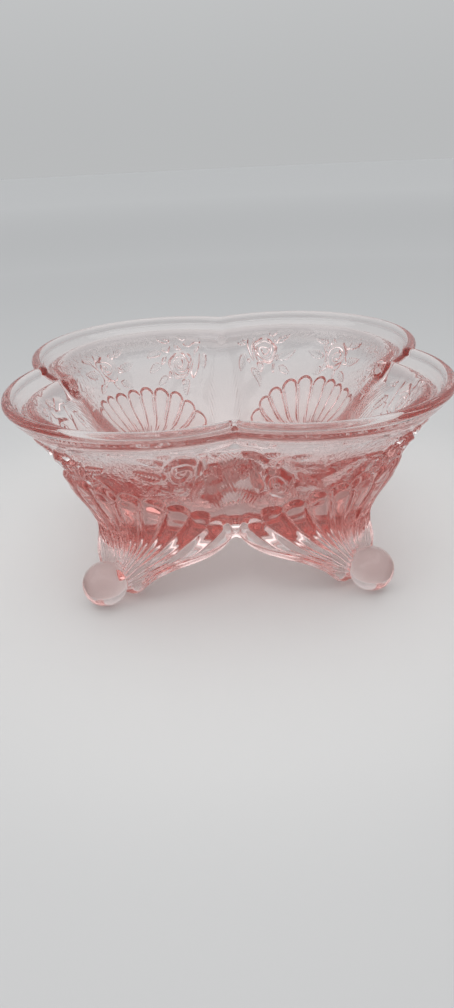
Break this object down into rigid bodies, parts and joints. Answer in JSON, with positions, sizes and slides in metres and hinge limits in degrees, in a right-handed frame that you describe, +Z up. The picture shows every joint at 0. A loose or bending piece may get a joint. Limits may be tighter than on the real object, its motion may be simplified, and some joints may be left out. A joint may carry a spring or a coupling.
{
  "type": "footed candy dish",
  "caption": "Pale pink pressed-glass candy dish: square four-lobed bowl with flared rim, rose sprays in relief, shell-fan legs and ball toes",
  "frame": {"origin": "Centre of the dish on the surface it stands on, midway between the four toes", "axes": "+Z up through the bowl; the notches between the lobes face +X, -X, +Y and -Y; -Y is the side the camera sees; lobes and toes lie on the diagonals"},
  "size_m": [0.165, 0.165, 0.0805],
  "materials": {
    "pink_glass": "clear pale pink pressed glass, fire-polished gloss"
  },
  "bodies": {
    "root": {"bowl": "pink_glass", "rim_collar": "pink_glass", "shell_leg_front_left": "pink_glass", "shell_leg_front_right": "pink_glass", "shell_leg_back_left": "pink_glass", "shell_leg_back_right": "pink_glass", "ball_toe_front_left": "pink_glass", "ball_toe_front_right": "pink_glass", "ball_toe_back_left": "pink_glass", "ball_toe_back_right": "pink_glass", "rose_spray_front_left": "pink_glass", "rose_spray_front_right": "pink_glass", "rose_spray_back_left": "pink_glass", "rose_spray_back_right": "pink_glass"}
  },
  "joints": []
}
